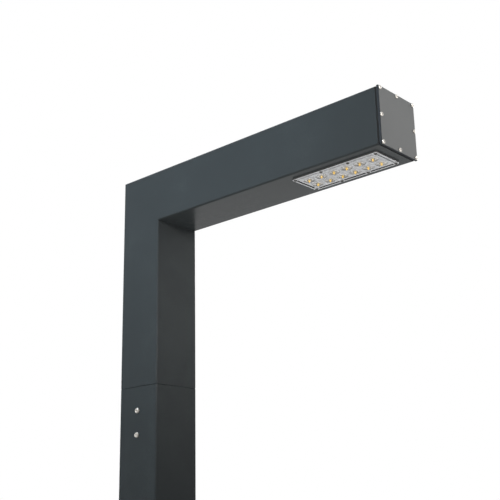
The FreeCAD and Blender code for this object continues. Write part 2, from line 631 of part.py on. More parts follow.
def led_driver():
    """Sealed driver: a bevelled case with a mounting ear at each end."""
    top = Z_TRAY + DRIVER_HEIGHT
    case = bevel(block(DRIVER_LENGTH, DRIVER_WIDTH, Z_TRAY, top, DRIVER_X), DRIVER_BEVEL, Z_AXIS, top)
    whole = DRIVER_LENGTH + 2 * DRIVER_EAR_LENGTH
    ears = block(whole, DRIVER_EAR_WIDTH, Z_TRAY, Z_TRAY + DRIVER_EAR_HEIGHT, DRIVER_X)
    driver = case.fuse(ears)
    return drill(driver, M3_THREAD + HOLE_FIT, driver_screw_seats(Z_TRAY), Z_AXIS, DRIVER_EAR_HEIGHT)


def driver_screws():
    """Screws through the driver's ears into the tray."""
    pan = screw(M3_THREAD, M3_HEAD, M3_HEIGHT, DRIVER_EAR_HEIGHT + TRAY_SHEET)
    return [stand_on(pan, seat, Z_AXIS) for seat in driver_screw_seats(Z_TRAY + DRIVER_EAR_HEIGHT)]


def terminal_block():
    """Stepped terminal block with wire entries on both sides and a well over each clamping screw."""
    top = Z_TRAY + TERMINAL_HEIGHT
    steps = block(TERMINAL_LENGTH, TERMINAL_WIDTH, Z_TRAY, Z_TRAY + TERMINAL_STEP_HEIGHT, TERMINAL_X)
    ridge = block(TERMINAL_LENGTH - 2 * TERMINAL_STEP, TERMINAL_WIDTH, Z_TRAY, top, TERMINAL_X)
    whole = TERMINAL_WIDTH + 2 * TERMINAL_EAR_WIDTH
    ears = block(TERMINAL_EAR_LENGTH, whole, Z_TRAY, Z_TRAY + TERMINAL_EAR_HEIGHT, TERMINAL_X)
    poles = [(i - (TERMINAL_POLES - 1) / 2) * TERMINAL_POLE_PITCH for i in range(TERMINAL_POLES)]
    solid = steps.fuse([ridge, ears])
    entry_z = Z_TRAY + TERMINAL_ENTRY_RISE
    mouths = [Vector(TERMINAL_X - TERMINAL_LENGTH / 2, y, entry_z) for y in poles]
    solid = drill(solid, TERMINAL_ENTRY, mouths, X_AXIS, TERMINAL_LENGTH)
    solid = drill(solid, TERMINAL_WELL, [Vector(TERMINAL_X, y, top) for y in poles], DOWN, top - entry_z)
    return drill(solid, M3_THREAD + HOLE_FIT, terminal_screw_seats(Z_TRAY), Z_AXIS, TERMINAL_EAR_HEIGHT)


def terminal_screws():
    """Screws through the ears of the terminal block into the tray."""
    pan = screw(M3_THREAD, M3_HEAD, M3_HEIGHT, TERMINAL_EAR_HEIGHT + TRAY_SHEET)
    return [stand_on(pan, seat, Z_AXIS) for seat in terminal_screw_seats(Z_TRAY + TERMINAL_EAR_HEIGHT)]


def earth_screw():
    """Screw in the tray's floor for the protective earth."""
    return stand_on(screw(M3_THREAD, M3_HEAD, M3_HEIGHT, TRAY_SHEET), Vector(EARTH_X, 0, Z_TRAY), Z_AXIS)


PIECES = [base_plate, post_tube, spigot, spigot_nuts, post_screws,
          elbow_housing, end_gasket, end_plate, end_plate_screws,
          heat_sink, lead_grommet, thermal_pad, led_board, led_bases, led_phosphors, board_connector,
          board_screws, lens_gasket, lens_array, lens_screws,
          gear_tray, tray_nuts, led_driver, driver_screws, terminal_block, terminal_screws, earth_screw]


def main():
    """Writes each piece to parts/, in a file named after its function."""
    os.makedirs("parts", exist_ok=True)
    for piece in PIECES:
        made = piece()
        shape = Part.makeCompound(made) if isinstance(made, list) else made.removeSplitter()
        name = piece.__name__
        shape.exportStep(f"parts/{name}.step")
        print(f"{name}: {len(shape.Solids)} solids, {shape.Volume:.0f} mm3, valid {shape.isValid()}")


main()
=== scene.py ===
"""Looks of a square post top light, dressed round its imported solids.

The light's solids stay as they are where their shape is right and get a finish. The clear lens, the LEDs,
the screws and the weld at the foot are made again as fine surfaces. Metres, +Z up, the arm along +X.
"""
import logging
import math
from collections.abc import Callable, Mapping, Sequence
from dataclasses import dataclass
from enum import Enum
from typing import Any, Union

import bpy
import numpy as np
from mathutils import Matrix, Vector
from numpy.typing import NDArray


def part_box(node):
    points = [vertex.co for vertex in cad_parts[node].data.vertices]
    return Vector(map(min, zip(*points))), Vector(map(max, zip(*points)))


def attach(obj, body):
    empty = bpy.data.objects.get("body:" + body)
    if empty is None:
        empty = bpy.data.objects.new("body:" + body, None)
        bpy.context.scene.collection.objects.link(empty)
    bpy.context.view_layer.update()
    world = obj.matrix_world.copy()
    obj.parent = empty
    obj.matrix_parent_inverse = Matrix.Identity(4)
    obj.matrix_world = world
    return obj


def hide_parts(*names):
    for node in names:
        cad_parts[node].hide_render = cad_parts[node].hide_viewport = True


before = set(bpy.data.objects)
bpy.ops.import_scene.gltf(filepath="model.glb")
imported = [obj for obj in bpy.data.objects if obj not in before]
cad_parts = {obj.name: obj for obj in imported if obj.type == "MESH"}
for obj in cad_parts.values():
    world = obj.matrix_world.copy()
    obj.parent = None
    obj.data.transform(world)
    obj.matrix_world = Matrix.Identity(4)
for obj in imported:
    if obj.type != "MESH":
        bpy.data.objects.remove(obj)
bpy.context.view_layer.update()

Array = NDArray[np.float64]
Corners = NDArray[np.int64]
Pair = tuple[float, float]
Triple = tuple[float, float, float]
Colour = Triple
Operand = Union["Wire", float]

LOG = logging.getLogger("post_top_light")
BODY = "root"
MM = 0.001
SHADE = "shade"
CLEAR_PART = "clear_part"
PAINTED_LIGHT_BACK = "inner_face"
WHITE = (1.0, 1.0, 1.0, 1.0)


class Slot(Enum):
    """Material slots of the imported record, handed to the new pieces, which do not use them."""

    PAINT = "anthracite_paint"
    STAINLESS = "stainless_steel"
    BLACKENED = "blackened_steel"
    PHOSPHOR = "yellow_phosphor"
    LENS = "clear_lens"


def operator(operation: str, swapped: bool = False) -> Callable[..., "Wire"]:
    """Makes an operator for wires.

    Args:
        operation: name of the Math node's operation.
        swapped: whether the wire comes last among the node's inputs.

    Returns:
        A method that adds the node.
    """
    def apply(wire: "Wire", *others: Operand) -> "Wire":
        """Adds the node, with the wire and the others as its inputs."""
        inputs = (*others, wire) if swapped else (wire, *others)
        return wire.graph.node("ShaderNodeMath", {"operation": operation}, dict(enumerate(inputs)))
    return apply


class Wire:
    """A shader socket that takes part in Python arithmetic: each operation adds a Math node."""

    __add__ = __radd__ = operator("ADD")
    __sub__ = operator("SUBTRACT")
    __rsub__ = operator("SUBTRACT", swapped=True)
    __mul__ = __rmul__ = operator("MULTIPLY")
    __truediv__ = operator("DIVIDE")
    __abs__ = operator("ABSOLUTE")
    larger = operator("MAXIMUM")
    wrapped = operator("FRACT")

    def __init__(self, graph: "Graph", socket: bpy.types.NodeSocket) -> None:
        """Keeps the socket and the graph that new nodes go into."""
        self.graph = graph
        self.socket = socket

    def swing(self, width: float) -> "Wire":
        """Swing of that width round nought, from a value round 0.5."""
        return width * (self - 0.5)

    def step(self, low: float, high: float) -> "Wire":
        """Smooth step from 0 at the low value to 1 at the high one."""
        ends = {"Value": self, "From Min": low, "From Max": high}
        return self.graph.node("ShaderNodeMapRange", {"interpolation_type": "SMOOTHSTEP"}, ends)


def scaled(colour: Colour, share: float) -> Colour:
    """Colour with each part times the share."""
    return tuple(share * c for c in colour)


class Graph:
    """Shader nodes of one material or of the world."""

    def __init__(self, tree: bpy.types.NodeTree) -> None:
        """Starts from an empty tree."""
        self.tree = tree
        self.tree.nodes.clear()

    def node(self, kind: str, settings: Mapping[str, Any], inputs: Mapping[Any, Any],
             output: Any = 0) -> Wire:
        """Adds any node.

        Args:
            kind: Blender's type name of the node.
            settings: properties of the node, set before its sockets.
            inputs: a value or a wire for each socket, by name or number.
            output: name or number of the socket that is handed on.

        Returns:
            That output as a wire.
        """
        made = self.tree.nodes.new(kind)
        for name, value in settings.items():
            setattr(made, name, value)
        for key, value in inputs.items():
            if isinstance(value, Wire):
                self.tree.links.new(value.socket, made.inputs[key])
            else:
                made.inputs[key].default_value = value
        found = made.outputs[output] if len(made.outputs) else None
        return Wire(self, found)

    def place(self) -> Wire:
        """Object coordinates, which are places in the light's own frame in metres."""
        return self.node("ShaderNodeTexCoord", {}, {}, "Object")

    def along(self, axis: str) -> Wire:
        """One of the object coordinates, by its letter."""
        return self.node("ShaderNodeSeparateXYZ", {}, {"Vector": self.place()}, axis)

    def noise(self, size: float, detail: float = 3.0) -> Wire:
        """Cloudy value round 0.5, by the width of its patches in metres and the octaves of finer cloud."""
        inputs = {"Vector": self.place(), "Scale": 1 / size, "Detail": detail}
        return self.node("ShaderNodeTexNoise", {}, inputs)

    def grain(self, size: float, stretch: float) -> Wire:
        """Noise that is drawn out along X.

        Args:
            size: width of a streak in metres.
            stretch: length of a streak, as a multiple of its width.

        Returns:
            A value round 0.5.
        """
        scale = (1 / (size * stretch), 1 / size, 1 / size)
        drawn = self.node("ShaderNodeMapping", {}, {"Vector": self.place(), "Scale": scale})
        return self.node("ShaderNodeTexNoise", {}, {"Vector": drawn, "Scale": 1.0, "Detail": 3.0})

    def blend(self, share: Operand, low: Any, high: Any) -> Wire:
        """Mixes two colours.

        Args:
            share: how much of the second colour.
            low: first colour, three numbers or a wire.
            high: second colour, likewise.

        Returns:
            The mixed colour.
        """
        ends = [c if isinstance(c, Wire) else (*c, 1.0) for c in (low, high)]
        # A Mix node has sockets for each kind of value: its colours go into 6 and 7 and come out of 2.
        inputs = {0: share, 6: ends[0], 7: ends[1]}
        return self.node("ShaderNodeMix", {"data_type": "RGBA"}, inputs, 2)

    def tones(self, share: Operand, colour: Colour, ends: Pair) -> Wire:
        """Mixes two tones of a colour, each of them the colour times one of the ends."""
        return self.blend(share, scaled(colour, ends[0]), scaled(colour, ends[1]))

    def bump(self, height: Wire, depth: float, strength: float = 1.0) -> Wire:
        """Normal with a relief from 0 to 1, by its depth in metres and how much of it shows."""
        inputs = {"Height": height, "Distance": depth, "Strength": strength}
        return self.node("ShaderNodeBump", {}, inputs, "Normal")

    def attribute(self, name: str) -> Wire:
        """Value that a piece's points carry under that name."""
        return self.node("ShaderNodeAttribute", {"attribute_name": name}, {}, "Fac")

    def ray(self, kind: str) -> Wire:
        """One for rays of that kind, else nought."""
        return self.node("ShaderNodeLightPath", {}, {}, f"Is {kind} Ray")

    def mirrored(self) -> Wire:
        """One for rays that a shiny or clear surface sends on, else nought."""
        return self.ray("Glossy").larger(self.ray("Transmission"))

    def surface(self, inputs: Mapping[str, Any]) -> None:
        """Ends a material in a Principled shader.

        Args:
            inputs: a number, a colour or a wire for each of the shader's sockets, by name.
        """
        values = {k: (*v, 1.0) if isinstance(v, tuple) else v for k, v in inputs.items()}
        shader = self.node("ShaderNodeBsdfPrincipled", {}, values)
        self.node("ShaderNodeOutputMaterial", {}, {"Surface": shader})


@dataclass(frozen=True)
class Finish:
    """Common ground of the finishes: a name, and a material that is made once."""

    name: str

    def lay(self, graph: Graph) -> None:
        """Adds the finish's nodes.

        Args:
            graph: the material's graph.
        """
        raise NotImplementedError

    def material(self) -> bpy.types.Material:
        """Makes the material of this finish at its first use.

        Returns:
            The material.
        """
        known = bpy.data.materials.get(self.name)
        if known is None:
            known = bpy.data.materials.new(self.name)
            known.use_nodes = True
            self.lay(Graph(known.node_tree))
        return known

    def dress(self, piece: bpy.types.Object) -> None:
        """Gives the piece this finish alone."""
        piece.data.materials.clear()
        piece.data.materials.append(self.material())


@dataclass(frozen=True)
class PowderCoat(Finish):
    """Baked powder paint: a fine peel over a colour that is slightly uneven, with a few pale dust specks."""

    colour: Colour
    roughness: float
    specular: float
    peel: float = 0.9 * MM
    peel_depth: float = 0.035 * MM
    patch: float = 0.22
    patch_tones: Pair = (0.93, 1.07)
    speck: float = 0.35 * MM
    speck_tone: float = 2.2
    speck_share: float = 0.35

    def lay(self, graph: Graph) -> None:
        """Mixes the colour by broad patches and specks, and bumps the peel."""
        peel = graph.noise(self.peel)
        patch = graph.noise(self.patch, 4.0).step(0.3, 0.7)
        speck = graph.noise(self.speck, 1.0).step(0.70, 0.78)
        base = graph.tones(patch, self.colour, self.patch_tones)
        base = graph.blend(speck * self.speck_share, base, scaled(self.colour, self.speck_tone))
        graph.surface({
            "Base Color": base,
            "Roughness": self.roughness + peel.swing(0.10) + patch.swing(0.06),
            "Specular IOR Level": self.specular,
            "Normal": graph.bump(peel, self.peel_depth),
        })


@dataclass(frozen=True)
class CoatedPlate(Finish):
    """Sheet with dark edges and a satin coated face. The edges take a darker edge paint that is also painted
    shade on the plate's sides and front bevel; the face is painted paler towards its top and far side, as
    painted light.
    """

    colour: Colour
    roughness: float
    specular: float
    tones: Pair = (0.90, 1.45)
    edge_paint_and_shade_colour: Colour = (0.042, 0.048, 0.055)
    edge_roughness: float = 0.9
    face: float = 0.5614
    front_edge: float = -0.0494
    middle: float = 2.45
    lean: float = 0.4
    climb: float = 1.5
    reach: float = 0.1

    def lay(self, graph: Graph) -> None:
        """Marks the edges by place for their dark paint and painted shade, and mixes the face's colour by its
        painted light slope and broad patches.
        """
        peel = graph.noise(0.7 * MM)
        patch = graph.noise(60 * MM).step(0.25, 0.75)
        # painted light: the face's colour rises towards +Y and upwards, standing in for light that falls
        # there
        painted_light_slope = self.lean * graph.along("Y") + self.climb * (graph.along("Z") - self.middle)
        painted_light_slope = painted_light_slope.step(-self.reach, self.reach)
        # dark edge paint and painted shade: the cut edges and the front bevel take the dark edge colour and a
        # dull roughness
        face = graph.along("X").step(self.face, self.face + 0.2 * MM)
        face = face * graph.along("Y").step(self.front_edge, self.front_edge + 0.3 * MM)
        dullness = self.edge_roughness + (self.roughness - self.edge_roughness) * face
        paint = graph.tones(0.85 * painted_light_slope + 0.15 * patch, self.colour, self.tones)
        graph.surface({
            "Base Color": graph.blend(face, self.edge_paint_and_shade_colour, paint),
            "Roughness": dullness + peel.swing(0.08),
            "Specular IOR Level": self.specular,
            "Coat Weight": face * 0.6,
            "Coat Roughness": 0.32,
            "Normal": graph.bump(peel, 0.02 * MM),
        })


@dataclass(frozen=True)
class Steel(Finish):
    """Bare or blackened steel with fine drawn lines."""

    colour: Colour
    roughness: float
    tones: Pair = (0.86, 1.1)
    shade_tone: float = 0.25
    line: float = 0.12 * MM
    stretch: float = 14.0

    def lay(self, graph: Graph) -> None:
        """Varies colour, roughness and relief along the lines, and darkens the marked points with painted
        shade.
        """
        lines = graph.grain(self.line, self.stretch)
        cloud = graph.noise(2.5 * MM, 2.0)
        bare = graph.tones(cloud, self.colour, self.tones)
        graph.surface({
            "Base Color": graph.blend(graph.attribute(SHADE), bare, scaled(self.colour, self.shade_tone)),
            "Metallic": 1.0,
            "Roughness": self.roughness + lines.swing(0.16) + cloud.swing(0.1),
            "Normal": graph.bump(lines, 0.01 * MM, 0.5),
        })


@dataclass(frozen=True)
class Galvanised(Finish):
    """Zinc-coated sheet: crystals a few millimetres wide, each with its own grey."""

    colour: Colour = (0.46, 0.47, 0.48)
    tones: Pair = (0.72, 1.18)
    crystal: float = 7 * MM

    def lay(self, graph: Graph) -> None:
        """Takes each crystal's grey and gloss from a cell pattern."""
        pattern = {"Vector": graph.place(), "Scale": 1 / self.crystal}
        cells = graph.node("ShaderNodeTexVoronoi", {}, pattern, "Color")
        tone = graph.node("ShaderNodeSeparateColor", {}, {"Color": cells}, "Red")
        frost = graph.noise(0.8 * MM)
        graph.surface({
            "Base Color": graph.tones(tone, self.colour, self.tones),
            "Metallic": 0.85,
            "Roughness": 0.42 + 0.16 * tone + frost.swing(0.08),
            "Normal": graph.bump(frost, 0.02 * MM, 0.6),
        })


@dataclass(frozen=True)
class Extrusion(Finish):
    """Bare aluminium with the fine lines of its press, along the arm."""

    colour: Colour = (0.70, 0.70, 0.71)
    tones: Pair = (0.88, 1.08)
    line: float = 0.25 * MM
    stretch: float = 120.0

    def lay(self, graph: Graph) -> None:
        """Draws the lines out along X."""
        lines = graph.grain(self.line, self.stretch)
        cloud = graph.noise(12 * MM)
        graph.surface({
            "Base Color": graph.tones(cloud, self.colour, self.tones),
            "Metallic": 0.95,
            "Roughness": 0.34 + lines.swing(0.2),
            "Normal": graph.bump(lines, 0.02 * MM, 0.6),
        })


@dataclass(frozen=True)
class SoftSeal(Finish):
    """Rubber or silicone: dull, with a fine skin and a little dust in it."""

    colour: Colour
    roughness: float = 0.78
    dust_tone: float = 1.7
    dust_share: float = 0.5

    def lay(self, graph: Graph) -> None:
        """Adds dust and a fine relief."""
        skin = graph.noise(0.5 * MM)
        dust = graph.noise(6 * MM, 4.0).step(0.52, 0.8)
        dusty = scaled(self.colour, self.dust_tone)
        graph.surface({
            "Base Color": graph.blend(dust * self.dust_share, self.colour, dusty),
            "Roughness": self.roughness + skin.swing(0.12),
            "Specular IOR Level": 0.3,
            "Normal": graph.bump(skin, 0.03 * MM),
        })


@dataclass(frozen=True)
class Moulded(Finish):
    """Moulded plastic or potted ceramic with an eroded, slightly cloudy face."""

    colour: Colour
    roughness: float = 0.45
    texture: float = 0.4 * MM
    tones: Pair = (0.94, 1.05)

    def lay(self, graph: Graph) -> None:
        """Adds the texture of the mould."""
        face = graph.noise(self.texture, 2.0)
        cloud = graph.noise(9 * MM)
        graph.surface({
            "Base Color": graph.tones(cloud, self.colour, self.tones),
            "Roughness": self.roughness + face.swing(0.14),
            "Normal": graph.bump(face, 0.02 * MM, 0.7),
        })


@dataclass(frozen=True)
class CircuitBoard(Finish):
    """White solder mask over copper areas, one under each LED, with thin gaps between them."""

    mask: Colour = (0.80, 0.81, 0.80)
    copper: Colour = (0.70, 0.71, 0.66)
    first_led: float = 0.388
    pitch: float = 0.026
    row: float = 0.012
    half_band: Pair = (7.6 * MM, 8.0 * MM)
    half_gap: Pair = (0.4 * MM, 0.7 * MM)

    def lay(self, graph: Graph) -> None:
        """Marks a band along each row of LEDs and cuts it halfway between them."""
        from_row = abs(abs(graph.along("Y")) - self.row)
        turn = ((graph.along("X") - self.first_led) / self.pitch).wrapped()
        from_cut = abs(turn - 0.5) * self.pitch
        area = (1 - from_row.step(*self.half_band)) * from_cut.step(*self.half_gap)
        weave = graph.noise(0.6 * MM, 2.0)
        graph.surface({
            "Base Color": graph.blend(area, self.mask, self.copper),
            "Roughness": 0.42 + weave.swing(0.1),
            "Normal": graph.bump(area + 0.1 * weave, 0.04 * MM),
        })


@dataclass(frozen=True)
class PhosphorGel(Finish):
    """Yellow phosphor in silicone with fine bright grains, and a faint painted glow that brightens its
    yellow.
    """

    colour: Colour = (0.94, 0.55, 0.005)
    depth_tone: float = 0.85
    grain_colour: Colour = (0.96, 0.64, 0.03)
    painted_glow: float = 0.7

    def lay(self, graph: Graph) -> None:
        """Mixes bright grains into the yellow."""
        grains = graph.noise(0.3 * MM)
        graph.surface({
            "Base Color": graph.blend(grains, scaled(self.colour, self.depth_tone), self.grain_colour),
            # painted light: a faint glow that brightens the yellow
            "Emission Color": self.colour,
            "Emission Strength": self.painted_glow,
            "Roughness": 0.3 + grains.swing(0.1),
            "Coat Weight": 0.2,
            "Coat Roughness": 0.2,
        })


@dataclass(frozen=True)
class ClearPlastic(Finish):
    """Acrylic that is frosted but for its domes, with the faint unevenness of its mould."""

    tint: Colour = (0.67, 0.69, 0.725)
    tones: Pair = (0.72, 1.16)
    painted_light_back_tint: Colour = (0.97, 0.97, 0.97)
    shade_colour: Colour = (0.02, 0.02, 0.02)
    shade_share: float = 0.92
    index: float = 1.49
    roughness: float = 0.24
    dome_gloss: float = 0.12
    dome_cover: float = 0.13
    mottle: float = 4.5 * MM
    ripple: float = 2.2 * MM
    ripple_depth: float = 0.05 * MM

    def lay(self, graph: Graph) -> None:
        """Clears the marked domes, darkens the marked walls with painted shade, whitens the back with painted
        light, mottles the face and ripples it finely.
        """
        ripple = graph.noise(self.ripple)
        patch = graph.noise(self.mottle).step(0.35, 0.65)
        cloud = graph.tones(0.6 * patch + 0.4 * ripple.step(0.3, 0.7), self.tint, self.tones)
        # painted light: the back is whiter than the front, standing in for light that the shadowed inside of
        # the lens lacks
        cloud = graph.blend(graph.attribute(PAINTED_LIGHT_BACK), cloud, self.painted_light_back_tint)
        clear = graph.attribute(CLEAR_PART)
        graph.surface({
            # painted shade: the marked walls are darkened towards the shade colour
            "Base Color": graph.blend(graph.attribute(SHADE) * self.shade_share, cloud, self.shade_colour),
            "Roughness": self.roughness - self.dome_gloss * clear + ripple.swing(0.08),
            "IOR": self.index,
            "Alpha": 1 - (1 - self.dome_cover) * clear,
            "Normal": graph.bump(ripple, self.ripple_depth),
        })


@dataclass(frozen=True)
class Backdrop(Finish):
    """Pale studio paper, which shows as white in mirroring and clear surfaces and far from the post."""

    colour: Colour
    tones: Pair = (0.97, 1.03)
    lift: float = 0.72
    fade: Pair = (1.0, 36.0)

    def lay(self, graph: Graph) -> None:
        """Mixes dull paper with plain white, by the kind of ray and the squared distance from the post."""
        fibre = graph.noise(3 * MM)
        x, y = graph.along("X"), graph.along("Y")
        far = (x * x + y * y).step(*self.fade)
        seen = graph.ray("Camera")
        tone = graph.tones(fibre, self.colour, self.tones)
        paper = graph.node("ShaderNodeBsdfDiffuse", {}, {"Color": tone})
        white = graph.node("ShaderNodeEmission", {}, {"Color": WHITE})
        share = graph.mirrored().larger(seen * (self.lift + (1 - self.lift) * far))
        mixed = graph.node("ShaderNodeMixShader", {}, {0: share, 1: paper, 2: white})
        graph.node("ShaderNodeOutputMaterial", {}, {"Surface": mixed})


PAINT = PowderCoat("anthracite_powder_coat", (0.055, 0.063, 0.067), roughness=0.26, specular=0.06)
PLATE = CoatedPlate("plate_powder_coat", (0.146, 0.157, 0.161), roughness=0.42, specular=0.2)
STAINLESS = Steel("stainless_steel_finish", (0.69, 0.66, 0.61), roughness=0.26)
BLACKENED = Steel("blackened_steel_finish", (0.10, 0.098, 0.094), roughness=0.38)
GALVANISED = Galvanised("galvanised_sheet")
EXTRUSION = Extrusion("pressed_aluminium")
RUBBER = SoftSeal("black_seal_rubber", (0.012, 0.012, 0.012))
SILICONE = SoftSeal("grey_silicone_sheet", (0.34, 0.35, 0.37), roughness=0.62)
BOARD = CircuitBoard("white_circuit_board")
CERAMIC = Moulded("white_led_ceramic", (0.82, 0.81, 0.77), roughness=0.35, texture=0.2 * MM)
PHOSPHOR = PhosphorGel("yellow_phosphor_gel")
WHITE_PLASTIC = Moulded("white_terminal_plastic", (0.76, 0.75, 0.72))
DRIVER_CASE = Moulded("black_driver_case", (0.07, 0.07, 0.075), roughness=0.5)
CLEAR = ClearPlastic("clear_lens_acrylic")

FINISHED_NODES: tuple[tuple[Finish, tuple[str, ...]], ...] = (
    (PAINT, ("base_plate", "post_tube", "elbow_housing")),
    (PLATE, ("end_plate",)),
    (GALVANISED, ("spigot", "gear_tray")),
    (STAINLESS, ("spigot_nuts", "board_screws", "tray_nuts")),
    (STAINLESS, ("driver_screws", "terminal_screws", "earth_screw")),
    (RUBBER, ("end_gasket", "lead_grommet")),
    (SILICONE, ("lens_gasket", "thermal_pad")),
    (EXTRUSION, ("heat_sink",)),
    (BOARD, ("led_board",)),
    (CERAMIC, ("led_bases",)),
    (WHITE_PLASTIC, ("board_connector", "terminal_block")),
    (DRIVER_CASE, ("led_driver",)),
)


class Skin:
    """Points and faces of one piece, gathered as whole arrays."""

    def __init__(self) -> None:
        """Starts empty."""
        self.points: list[Array] = []
        self.marks: dict[str, list[Array]] = {SHADE: [], CLEAR_PART: [], PAINTED_LIGHT_BACK: []}
        self.faces: list[list[int]] = []
        self.count = 0

    def add(self, points: Array, faces: Sequence[Corners], **marks: Array) -> None:
        """Adds one patch or several alike.

        Args:
            points: places, of shape (..., per copy, 3), in metres.
            faces: groups of corner numbers of one copy's faces, outwards by the right-hand rule.
            marks: by name, each point's share from 0 to 1 of the painted shade, the clear part or the back's
                painted light.
        """
        copies = points.reshape(-1, points.shape[-2], 3)
        starts = self.count + np.arange(len(copies)) * points.shape[-2]
        self.points.append(copies.reshape(-1, 3))
        for name, kept in self.marks.items():
            kept.append(np.tile(marks.get(name, np.zeros(points.shape[-2])), len(copies)))
        for group in faces:
            self.faces += (starts[:, None, None] + group[None]).reshape(-1, group.shape[-1]).tolist()
        self.count += copies.shape[0] * copies.shape[1]

    def piece(self, name: str, slot: Slot, finish: Finish, sharp: float = 35.0) -> bpy.types.Object:
        """Makes the piece's object.

        Args:
            name: its name.
            slot: the record's slot; not used.
            finish: its finish.
            sharp: angle in degrees past which an edge shows as an edge.

        Returns:
            The object, at the origin, riding on the light's one body.
        """
        mesh = bpy.data.meshes.new(name)
        mesh.from_pydata(np.concatenate(self.points), [], self.faces)
        mesh.shade_smooth()
        mesh.set_sharp_from_angle(angle=math.radians(sharp))
        for mark, values in self.marks.items():
            mesh.attributes.new(mark, "FLOAT", "POINT").data.foreach_set("value", np.concatenate(values))
        made = bpy.data.objects.new(name, mesh)
        bpy.context.scene.collection.objects.link(made)
        finish.dress(made)
        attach(made, BODY)
        LOG.info("piece %s: %d points, %d faces", name, len(mesh.vertices), len(mesh.polygons))
        return made


class Closed(Enum):
    """Which ways round a grid of points joins up with itself, as added to its steps of rows and columns."""

    NEITHER = (-1, -1)
    COLUMNS = (-1, 0)
    BOTH = (0, 0)


def grid_quads(rows: int, columns: int, closed: Closed = Closed.NEITHER) -> Corners:
    """Quads of a grid of points that is numbered row by row.

    Args:
        rows: number of rows.
        columns: points in a row.
        closed: whether each row's last point joins its first, and the last row the first.

    Returns:
        Corner numbers, four to a quad, each going first to the next row and then to the next column.
    """
    more_rows, more_columns = closed.value
    row, column = np.meshgrid(np.arange(rows + more_rows), np.arange(columns + more_columns), indexing="ij")
    below, beside = (row + 1) % rows, (column + 1) % columns
    turns = ((row, column), (below, column), (below, beside), (row, beside))
    return np.stack([r * columns + c for r, c in turns], axis=-1).reshape(-1, 4)


def fan(ring: Corners, tip: int) -> Corners:
    """Triangles from a closed ring of points to one tip."""
    return np.stack([ring, np.roll(ring, -1), np.full_like(ring, tip)], axis=-1)


def axes_round(outward: Triple) -> Array:
    """Works out the directions round a piece that points outwards.

    Args:
        outward: the outward direction.

    Returns:
        Two sideways directions and the outward one, as rows, right-handed.
    """
    third = np.asarray(outward, float)
    helper = np.array([0.0, 0.0, 1.0]) if abs(third[2]) < 0.9 else np.array([1.0, 0.0, 0.0])
    first = np.cross(helper, third)
    first /= np.linalg.norm(first)
    return np.stack([first, np.cross(third, first), third])


def turned(reach: Array, level: Array, turn: Array, tips: Pair) -> tuple[Array, list[Corners]]:
    """Closed body of rings round Z, where a point's place is (r cos t, r sin t, h).

    Args:
        reach: radius r of each point, a row to a ring.
        level: height h of each ring.
        turn: angle t of each column.
        tips: heights of the two points that close the first and the last ring.

    Returns:
        Its points, and its quads and the triangles at its tips.
    """
    levels = np.broadcast_to(level[:, None], reach.shape)
    rings = np.stack([reach * np.cos(turn), reach * np.sin(turn), levels], axis=-1).reshape(-1, 3)
    points = np.concatenate([rings, [[0.0, 0.0, tip] for tip in tips]])
    total, first = len(rings), np.arange(len(turn))
    quads = grid_quads(len(level), len(turn), Closed.COLUMNS)[:, ::-1]
    ends = np.concatenate([fan(first[::-1], total), fan(first + total - len(turn), total + 1)])
    return points, [quads, ends]


@dataclass
class SocketScrews:
    """Button-head screws with a hexagon socket, as one mesh, on seats that are given by outward direction."""

    node: str
    slot: Slot
    finish: Finish
    seats: Mapping[Triple, Array]
    head_radius: float
    head_height: float
    thread_radius: float
    grip: float
    socket: float
    rim_shade: float = 0.0
    turns: int = 48
    crown_steps: int = 9

    def profile(self) -> tuple[Array, Array, Array, Array]:
        """Outline from the thread's tip over the head to the socket's floor.

        Returns:
            Each point's radius, its height above the seat, how far it is drawn from a circle (0) to the
            socket's hexagon (1), and its shade at the head's foot, in the socket and on the rim.
        """
        head, height, edge = self.head_radius, self.head_height, 0.3 * self.head_height
        lip = 0.62 * self.socket
        turn = np.linspace(0.0, math.pi / 2, self.crown_steps)
        crown_r = lip + (head - lip) * np.cos(turn)
        crown_h = edge + (height - edge) * np.sin(turn)
        chamfer = 0.06 * self.socket
        radius = np.concatenate([
            [0.7 * self.thread_radius, self.thread_radius, self.thread_radius, 0.97 * head, head],
            crown_r, [self.socket / 2, self.socket / 2, 0.6 * self.socket / 2],
        ])
        level = np.concatenate([
            [-self.grip, 0.4 * self.thread_radius - self.grip, 0.0, 0.0, 0.08 * height],
            crown_h, [height - chamfer, 0.45 * height, 0.38 * height],
        ])
        hexagon = np.zeros_like(radius)
        hexagon[-3:] = 1.0
        # painted shade: dark at the head's foot and in the socket, and darker towards the rim as far as
        # rim_shade asks
        shade = np.clip(1.0 - 2.0 * level / height, 0.0, 1.0)
        shade = np.maximum(shade, self.rim_shade * np.clip((radius / head - 0.5) / 0.3, 0.0, 1.0))
        shade[-4:] = (0.0, 0.2, 0.5, 0.5)
        return radius, level, hexagon, shade

    def surface(self) -> tuple[Array, list[Corners], Array]:
        """One screw on the origin, pointing to +Z.

        The outline is turned round Z. In the socket its radius is divided by the cosine of the angle to the
        nearest flat's middle, which gives a hexagon.

        Returns:
            Its points, its quads and the triangles that close its tip and its socket's floor, and its shades.
        """
        radius, level, hexagon, shade = self.profile()
        turn = np.linspace(0.0, 2 * math.pi, self.turns, endpoint=False)
        to_flat = (turn + math.pi / 6) % (math.pi / 3) - math.pi / 6
        reach = radius[:, None] * (1 + hexagon[:, None] * (1 / np.cos(to_flat) - 1)[None])
        points, faces = turned(reach, level, turn, (-self.grip, 0.3 * self.head_height))
        return points, faces, np.concatenate([np.repeat(shade, self.turns), [1.0, 1.0]])

    def build(self) -> None:
        """Sets a screw on every seat and replaces the node."""
        points, faces, shade = self.surface()
        skin = Skin()
        for outward, seats in self.seats.items():
            skin.add(seats[:, None, :] + (points @ axes_round(outward))[None], faces, shade=shade)
        made = skin.piece(self.node + "_turned", self.slot, self.finish)
        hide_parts(self.node)


